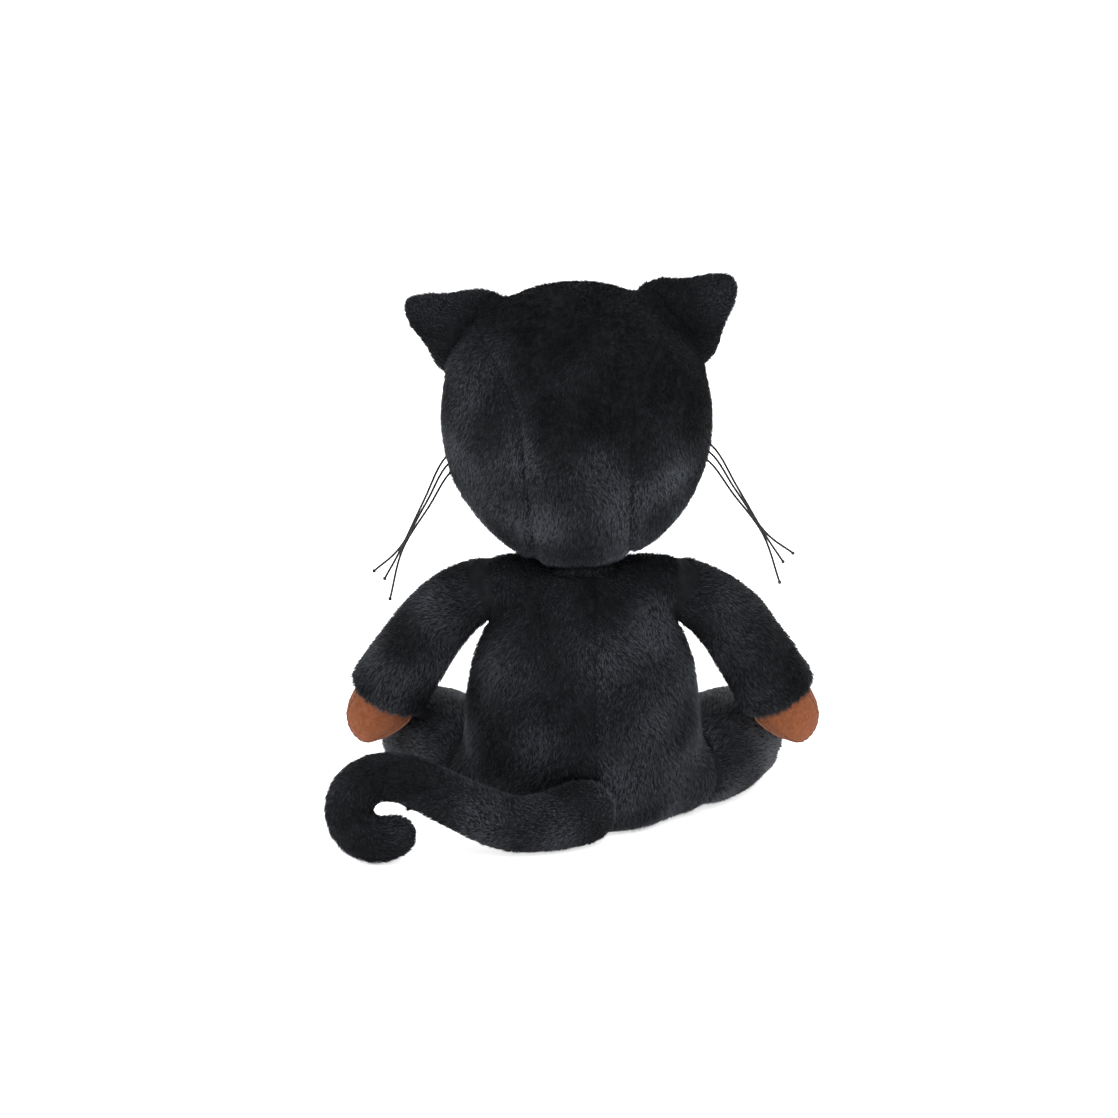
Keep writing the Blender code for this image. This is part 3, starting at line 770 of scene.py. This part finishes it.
def tree_of(piece):
    return BVHTree.FromPolygons(
        [vertex.co for vertex in piece.data.vertices], [tuple(face.vertices) for face in piece.data.polygons]
    )


def buried(points, trees, margin):
    """True where a root lies inside, or right against, a neighbouring form."""
    found = np.zeros(len(points), bool)
    for tree in trees:
        for index, point in enumerate(points):
            if found[index]:
                continue
            spot, normal, _, distance = tree.find_nearest(Vector(point))
            found[index] = distance < margin or (Vector(point) - spot).dot(normal) < 0
    return found


def roots_on(skin, density, random):
    """Random roots spread evenly over a skin, with its normals and seam distances there."""
    mesh = skin.data
    mesh.calc_loop_triangles()
    corners = np.empty(len(mesh.loop_triangles) * 3, np.int32)
    mesh.loop_triangles.foreach_get("vertices", corners)
    corners = corners.reshape(-1, 3)
    points, normals = points_of(skin), normals_of(skin)
    seam = np.empty(len(points), np.float32)
    mesh.attributes["seam_distance"].data.foreach_get("value", seam)
    a, b, c = (points[corners[:, i]] for i in range(3))
    area = np.linalg.norm(np.cross(b - a, c - a), axis=1) / 2
    count = int(area.sum() / MM**2 * density)
    chosen = random.choice(len(area), count, p=area / area.sum())
    u, v = np.sqrt(random.uniform(size=count)), random.uniform(size=count)
    share = np.stack([1 - u, u * (1 - v), u * v], axis=1)
    mix = corners[chosen]
    root = (points[mix] * share[:, :, None]).sum(axis=1)
    normal = (normals[mix] * share[:, :, None]).sum(axis=1)
    normal /= np.linalg.norm(normal, axis=1, keepdims=True)
    return root, normal, (seam[mix] * share).sum(axis=1)


def gathered(root, tip, random):
    """Neighbouring tips lean together into locks."""
    leaders = random.choice(len(root), max(1, len(root) // TUFTS_PER_LOCK), replace=False)
    finder = KDTree(len(leaders))
    for index, leader in enumerate(leaders):
        finder.insert(root[leader], index)
    finder.balance()
    nearest = leaders[[finder.find(point)[1] for point in root]]
    return tip + LOCK_PULL * (tip[nearest] - tip)


# No painted shade or highlight.
def no_shade(points):
    return np.zeros(len(points))


def pile_on(skin, name, body, lay, length, density=2.1, lift=0.42, width=0.35 * MM, seed=1, near=(),
            shade=no_shade, cropping=0.5):
    """A mesh of fibre tufts standing on a skin."""
    random = np.random.default_rng(seed)
    root, normal, seam = roots_on(skin, density, random)
    keep = ~((root[:, 2] < ROOT_CLEARANCE) & (normal[:, 2] < -0.7))
    if near:
        keep &= ~buried(root, [tree_of(FORMS[other]) for other in near], ROOT_CLEARANCE)
    root, normal, seam = root[keep], normal[keep], seam[keep]
    count = len(root)
    comb = lay(root)
    comb -= normal * (comb * normal).sum(axis=1, keepdims=True)
    comb += 1e-6
    comb /= np.linalg.norm(comb, axis=1, keepdims=True)
    across = np.cross(normal, comb)
    swirl = 0.55 * drift(root, SWIRL_SPAN, 11) + 0.3 * random.normal(size=count)
    comb = comb * np.cos(swirl)[:, None] + across * np.sin(swirl)[:, None]
    rise = lift * (1 + 0.45 * drift(root, RISE_SPAN, 12)) + 0.12 * random.normal(size=count)
    rise = np.clip(rise, *RISE_LIMITS)
    heading = comb * np.cos(rise)[:, None] + normal * np.sin(rise)[:, None]
    reach = length * random.uniform(0.7, 1.15, count)
    reach = reach * (1 - cropping * np.exp(-((seam / CROPPED_NEAR_SEAM) ** 2)))
    tip = gathered(root, root + heading * reach[:, None], random)
    tip[:, 2] = np.maximum(tip[:, 2], LOWEST)
    base = root - normal * ROOT_DEPTH
    turn = random.uniform(0, 2 * math.pi, count)
    side = np.cross(heading, normal + 1e-3)
    side /= np.linalg.norm(side, axis=1, keepdims=True)
    third = np.cross(heading, side)
    corners = []
    for step in range(3):
        angle = turn + step * 2 * math.pi / 3
        ring = side * np.cos(angle)[:, None] + third * np.sin(angle)[:, None]
        corner = base + ring * width / 2
        corner[:, 2] = np.maximum(corner[:, 2], LOWEST / 2)
        corners.append(corner)
    points = np.stack([*corners, tip], axis=1).reshape(-1, 3)
    first = np.arange(count) * 4
    faces = np.stack([first + corner for corner in SPIKE_FACES], axis=1).reshape(-1, 3)
    mesh = bpy.data.meshes.new(name)
    mesh.vertices.add(len(points))
    mesh.vertices.foreach_set("co", points.astype(np.float32).ravel())
    mesh.loops.add(faces.size)
    mesh.loops.foreach_set("vertex_index", faces.ravel().astype(np.int32))
    mesh.polygons.add(len(faces))
    mesh.polygons.foreach_set("loop_start", (np.arange(len(faces)) * 3).astype(np.int32))
    # The tone adds random drift to the painted shade and painted highlight of the tuft's place.
    tone = MIDDLE_TONE + shade(root) + 0.95 * drift(root, TONE_SPAN, 13) + 0.55 * random.normal(size=count)
    tone = np.clip(np.round(tone), 0, len(PILE_TONES) - 1)
    mesh.polygons.foreach_set("material_index", np.repeat(tone, 4).astype(np.int32))
    mesh.update()
    mesh.validate()
    pile = bpy.data.objects.new(name, mesh)
    bpy.context.collection.objects.link(pile)
    for material in PILE_TONES:
        mesh.materials.append(material)
    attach(pile, body)
    print(name, "has", count, "tufts")
    return pile


# %% [markdown]
# ### Cut the skins into their panels
# The maker cuts each panel from flat cloth. Here the finished skin is parted where the CAD panels meet, and where
# a form has several panels, each gets the cloth's thickness.


# %% Panels
BACKING_THICKNESS = 1.0 * MM


def settled(owner, mesh, rounds=4):
    """Each face takes the panel of most of its neighbours, so no face is left alone over a seam."""
    sharing = {}
    for face in mesh.polygons:
        for key in face.edge_keys:
            sharing.setdefault(key, []).append(face.index)
    pairs = np.array([faces for faces in sharing.values() if len(faces) == 2])
    for _ in range(rounds):
        votes = np.zeros((len(owner), owner.max() + 1))
        np.add.at(votes, (pairs[:, 0], owner[pairs[:, 1]]), 1)
        np.add.at(votes, (pairs[:, 1], owner[pairs[:, 0]]), 1)
        votes[np.arange(len(owner)), owner] += 1.5
        owner = votes.argmax(axis=1)
    return owner


def panels_of(name):
    form, panels = FORMS[name], PANELS[name]
    if len(panels) == 1:
        piece = form.copy()
        piece.data = form.data.copy()
        bpy.context.collection.objects.link(piece)
        piece.name = panels[0] + "_cloth"
        return {panels[0]: piece}
    form_copy = form.copy()
    form_copy.data = form.data.copy()
    bpy.context.collection.objects.link(form_copy)
    centres = np.empty(len(form_copy.data.polygons) * 3, np.float32)
    form_copy.data.polygons.foreach_get("center", centres)
    owner = panel_distances(centres.reshape(-1, 3).astype(float), panel_trees(panels)).argmin(axis=1)
    owner = settled(owner, form_copy.data)
    pieces = {}
    for index, panel in enumerate(panels[:-1]):
        only(form_copy)
        form_copy.data.polygons.foreach_set("select", owner == index)
        bpy.ops.object.mode_set(mode="EDIT")
        bpy.ops.mesh.select_mode(type="FACE")
        bpy.ops.object.mode_set(mode="OBJECT")
        form_copy.data.polygons.foreach_set("select", owner == index)
        bpy.ops.object.mode_set(mode="EDIT")
        bpy.ops.mesh.separate(type="SELECTED")
        bpy.ops.object.mode_set(mode="OBJECT")
        owner = owner[owner != index]
        pieces[panel] = next(o for o in bpy.context.selected_objects if o is not form_copy)
        pieces[panel].name = panel + "_cloth"
    form_copy.name = panels[-1] + "_cloth"
    pieces[panels[-1]] = form_copy
    return pieces


def dress(name, body, lay, length, fill=0.85, **how):
    for number, (panel, cloth) in enumerate(panels_of(name).items()):
        pile_on(cloth, panel + "_pile", body, lay, length, seed=number + 7 * len(name), **how)
        if len(PANELS[name]) > 1:
            apply_modifier(cloth, "SOLIDIFY", thickness=BACKING_THICKNESS, offset=-1)
            points = points_of(cloth)
            points[:, 2] = np.maximum(points[:, 2], LOWEST)
            move_points(cloth, points)
        for polygon in cloth.data.polygons:
            polygon.use_smooth = True
        place_piece(cloth, body, BACKING)
        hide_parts(panel)


dress(
    "torso", "torso", downward, 3.4 * MM, near=["arm_left", "arm_right", "leg_left", "leg_right", "tail"],
    shade=back_shade,
)
dress("head", "head", head_lay, 3.0 * MM, near=["neck"], shade=head_shade)
dress("neck", "neck", downward, 3.0 * MM, near=["head", "torso"])
dress("muzzle", "head", downward, 2.2 * MM, near=["head"])
for side_name, side in (("left", 1), ("right", -1)):
    dress(
        "arm_" + side_name, "arm_" + side_name[0], along(mirrored(ARM_ROUTE, side)), 3.4 * MM, near=["torso"],
        shade=sleeve_shade, cropping=0.1,
    )
    dress(
        "leg_" + side_name, "leg_" + side_name[0], along(mirrored(LEG_ROUTE, side)), 3.0 * MM, near=["torso"],
        shade=leg_shade,
    )
    dress("ear_" + side_name, "ear_" + side_name[0], to_ear_tip(side_name), 2.4 * MM, density=2.6, fill=0.3,
          shade=ear_shade)
dress("tail", "tail", along(TAIL_ROUTE), 2.8 * MM, near=["torso"], shade=tail_shade)

# %% [markdown]
# ## Suede paws and feet
# A mitten of two suede pieces, sewn face to face and turned, so a raised edge runs round its outline. The CAD paw
# is remeshed and flattened, the edge is a fine bead of paler suede that paints the highlight along the rim, and
# stitches show 3 mm inside.

# %% Paws and feet
SUEDE_RISE = 0.7 * MM
MITTEN_FLATTENING = 0.88
MITTEN_TAPER = 0.5
PAW_STITCH = (0.5 * MM, 2.2 * MM)  # width and length
STITCH_STEP = 3.0 * MM
STITCH_INSET = 3 * MM
EDGE_THICKNESS = 0.9 * MM


def suede_piece(node_name, body, voxel, smoothing, rise=0.0):
    piece = form_from(node_name + "_suede", [node_name], voxel, smoothing)
    apply_modifier(piece, "SUBSURF", levels=1, render_levels=1)
    points = points_of(piece) + normals_of(piece) * rise
    points[:, 2] = np.maximum(points[:, 2], LOWEST)
    move_points(piece, points)
    for polygon in piece.data.polygons:
        polygon.use_smooth = True
    place_piece(piece, body, SUEDE)
    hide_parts(node_name)
    return piece


def principal_axes(points):
    """The middle of some points, and their long, middle and short directions."""
    middle = points.mean(axis=0)
    return middle, np.linalg.svd(points - middle, full_matrices=False)[2]


PAW_HEADING = (9, -6.7, -19.8)
SEAM_TURNS = np.linspace(-0.6 * math.pi, 0.6 * math.pi, 120)


def mitten(node_name, body, side):
    """A suede paw, flattened front to back, with its turned edge and its stitches."""
    piece = suede_piece(node_name, body, 1.6 * MM, 3, SUEDE_RISE)
    points = points_of(piece)
    middle = points.mean(axis=0)
    long = np.array(PAW_HEADING) * (side, 1, 1)
    long /= np.linalg.norm(long)
    thin = np.array((0.2 * side, 1, 0.2))
    thin -= long * (thin @ long)
    thin /= np.linalg.norm(thin)
    wide = np.cross(long, thin)
    height, reach = (points - middle) @ thin, (points - middle) @ long
    inward = np.minimum((points - middle) @ wide * side, 0) * side
    points -= np.outer(inward * MITTEN_TAPER * np.clip(reach / reach.max(), 0, 1), wide)
    move_points(piece, points - np.outer(height * (1 - MITTEN_FLATTENING), thin))
    tree = tree_of(piece)
    outline = []
    for turn in SEAM_TURNS:
        direction = Vector(wide * math.sin(turn) + long * math.cos(turn))
        spot, normal, _, _ = tree.ray_cast(Vector(middle), direction)
        if spot is not None:
            outline.append(np.array(spot))
    curve = bpy.data.curves.new(node_name + "_edge", "CURVE")
    curve.dimensions = "3D"
    curve.bevel_depth = EDGE_THICKNESS / 2
    curve.bevel_resolution = 3
    curve.use_fill_caps = True
    line = curve.splines.new("POLY")
    line.points.add(len(outline) - 1)
    for knot, spot in zip(line.points, outline):
        knot.co = (*spot, 1)
    edge = bpy.data.objects.new(node_name + "_edge", curve)
    bpy.context.collection.objects.link(edge)
    # The bead takes the paler suede, a painted highlight along the rim.
    place_piece(edge, body, SUEDE_RIM_HIGHLIGHT)
    stitches, length = [], 0.0
    inner = [spot - (spot - middle) / np.linalg.norm(spot - middle) * STITCH_INSET for spot in outline]
    for before, after in zip(inner, inner[1:]):
        length += float(np.linalg.norm(after - before))
        if length < STITCH_STEP:
            continue
        length = 0.0
        for face in (1, -1):
            spot, normal, _, _ = tree.ray_cast(Vector(after + thin * face * 0.03), Vector(-thin * face))
            if spot is not None:
                stitches.append((spot, normal, Vector(after - before).normalized()))
    return stitches


def sew(name, stitches, body, thread, size):
    """One small rounded thread for every stitch, joined into one piece."""
    width, length = size
    bpy.ops.mesh.primitive_cylinder_add(vertices=6, radius=width / 2, depth=length)
    model = bpy.context.object
    bpy.ops.object.mode_set(mode="EDIT")
    bpy.ops.mesh.select_all(action="SELECT")
    bpy.ops.mesh.bevel(offset=width * 0.3, segments=1)
    bpy.ops.object.mode_set(mode="OBJECT")
    shape = points_of(model)
    faces = [tuple(face.vertices) for face in model.data.polygons]
    bpy.data.objects.remove(model)
    corners, sides = [], []
    for spot, normal, along_seam in stitches:
        along_seam = (along_seam - normal * along_seam.dot(normal)).normalized()
        across = normal.cross(along_seam)
        frame_of_stitch = np.array([[*across], [*normal], [*along_seam]])
        first = len(corners) * len(shape)
        corners.append(shape @ frame_of_stitch + np.array(spot) + np.array(normal) * width * 0.2)
        sides += [tuple(first + corner for corner in face) for face in faces]
    mesh = bpy.data.meshes.new(name)
    mesh.from_pydata(np.concatenate(corners).tolist(), [], sides)
    mesh.update()
    piece = bpy.data.objects.new(name, mesh)
    bpy.context.collection.objects.link(piece)
    place_piece(piece, body, thread)
    print(name, "has", len(stitches), "stitches")
    return piece


for side_name, side in (("left", 1), ("right", -1)):
    seam_stitches = mitten("paw_" + side_name, "arm_" + side_name[0], side)
    sew(f"paw_{side_name}_stitching", seam_stitches, "arm_" + side_name[0], THREAD, PAW_STITCH)
    foot = suede_piece("foot_" + side_name, "leg_" + side_name[0], 1.6 * MM, 10, SUEDE_RISE)
    cup(suede_piece(f"ear_{side_name}_lining", "ear_" + side_name[0], 0.8 * MM, 3), side_name)

# %% [markdown]
# ## Face
# The face is a plain cat's: two moulded eyes on shanks, a suede nose and an embroidered mouth. An eye is
# one amber dome, with a black slit pupil and a dark rim that stand a hair proud of it.

# %% Nose and eyes
EYE_RADIUS = 6.5 * MM
EYE_HEIGHT = 4.4 * MM
PUPIL = (3.0 * MM, 5.9 * MM)
RIM_THICKNESS = 0.55 * MM
suede_piece("nose", "head", 0.7 * MM, 2, 0.2 * MM)


def shape_to_eye(piece, spot, looking, name):
    """Turns a shape modelled looking up so that it looks out of the face."""
    piece.name = name
    piece.matrix_world = Matrix.Translation(spot) @ looking.to_track_quat("Z", "Y").to_matrix().to_4x4()
    only(piece)
    bpy.ops.object.transform_apply(location=True, rotation=True, scale=True)
    bpy.ops.object.shade_smooth()


def dome(width, depth, height):
    """A dome with a flat back, cut from a stretched sphere a little below its middle."""
    bpy.ops.mesh.primitive_uv_sphere_add(segments=40, ring_count=20, radius=1)
    piece = bpy.context.object
    piece.scale = (width, depth, height)
    bpy.ops.object.transform_apply(location=False, rotation=False, scale=True)
    bpy.ops.object.mode_set(mode="EDIT")
    bpy.ops.mesh.select_all(action="SELECT")
    bpy.ops.mesh.bisect(plane_co=(0, 0, -height * 0.3), plane_no=(0, 0, -1), clear_outer=True, use_fill=True)
    bpy.ops.object.mode_set(mode="OBJECT")
    return piece


for side_name in ("left", "right"):
    name = "eye_" + side_name
    washer_points = np.array([vertex.co for vertex in NODES[name + "_washer"].data.vertices])
    middle, axes = principal_axes(washer_points)
    looking = axes[2] if axes[2][1] < 0 else -axes[2]
    eye_points = np.array([vertex.co for vertex in NODES[name].data.vertices])
    top = ((eye_points - middle) @ looking).max()
    looking = Vector(looking)
    spot = Vector(middle) + looking * (top - EYE_HEIGHT + 1.2 * MM)
    amber = dome(EYE_RADIUS, EYE_RADIUS, EYE_HEIGHT)
    shape_to_eye(amber, spot, looking, name + "_dome")
    place_piece(amber, "head", EYE_AMBER)
    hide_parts(name)
    slit = dome(PUPIL[0], PUPIL[1], EYE_HEIGHT + 0.4 * MM)
    shape_to_eye(slit, spot, looking, name + "_pupil")
    place_piece(slit, "head", EYE_BLACK)
    bpy.ops.mesh.primitive_torus_add(
        major_radius=EYE_RADIUS, minor_radius=RIM_THICKNESS, major_segments=40, minor_segments=10
    )
    rim = bpy.context.object
    shape_to_eye(rim, spot, looking, name + "_rim")
    place_piece(rim, "head", EYE_BLACK)

# %% [markdown]
# ### Mouth
# Thick thread is embroidered through the pile of the muzzle, so it lies just above the skin. It follows three
# lines, which are cast straight back onto the muzzle.

# %% Mouth
MOUTH_STITCH = (1.0 * MM, 1.9 * MM)  # width and length
THREAD_HEIGHT = 0.95 * MM
MOUTH_LINES = (
    ((0, 167.5), (0.1, 165), (0, 162)),
    ((0, 162), (2.5, 159.5), (6, 158.5), (9.5, 159.8), (11.5, 162.5)),
    ((0, 162), (-2.5, 159.5), (-6, 158.5), (-9.5, 159.8), (-11.5, 162.5)),
)
muzzle_tree = tree_of(FORMS["muzzle"])
mouth_stitches = []
for route in MOUTH_LINES:
    flat_points = [on_head((x, -100, z)) for x, z in route]
    spots = []
    for point in smooth_route(flat_points, 4):
        spot, normal, _, _ = muzzle_tree.ray_cast(point, Vector((0, 1, 0)))
        if spot is not None:
            spots.append((spot + normal * THREAD_HEIGHT, normal))
    for (spot, normal), (after, _) in zip(spots, spots[1:]):
        mouth_stitches.append(((spot + after) / 2, normal, (after - spot).normalized()))
sew("mouth_stitching", mouth_stitches, "head", MOUTH_THREAD, MOUTH_STITCH)

# %% [markdown]
# ## Fillings
# Fibre filling is a springy mass that never quite fills a skin. Each CAD filling is remeshed and drawn in,
# so that none of it stands through a seam.

# %% Fillings
BODIES = frame["record"]["behaviour"]["bodies"]
DRAWN_IN, DRAWN_IN_SPREAD = 2.0, 0.5
for node_name in sorted(NODES):
    if not node_name.endswith("stuffing"):
        continue
    filling = form_from(node_name.replace("stuffing", "fibrefill"), [node_name], 4 * MM, 2)
    points = points_of(filling)
    inward = DRAWN_IN - DRAWN_IN_SPREAD * drift(points, 20 * MM, 5)
    move_points(filling, points - normals_of(filling) * inward[:, None] * MM)
    owner = next(name for name, nodes in BODIES.items() if node_name in nodes)
    for polygon in filling.data.polygons:
        polygon.use_smooth = True
    place_piece(filling, owner, FIBREFILL)
    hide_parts(node_name)

# %% [markdown]
# ## Finish
# The construction forms have done their work and are removed.

# %% Put the construction forms away
for form in FORMS.values():
    bpy.data.objects.remove(form)
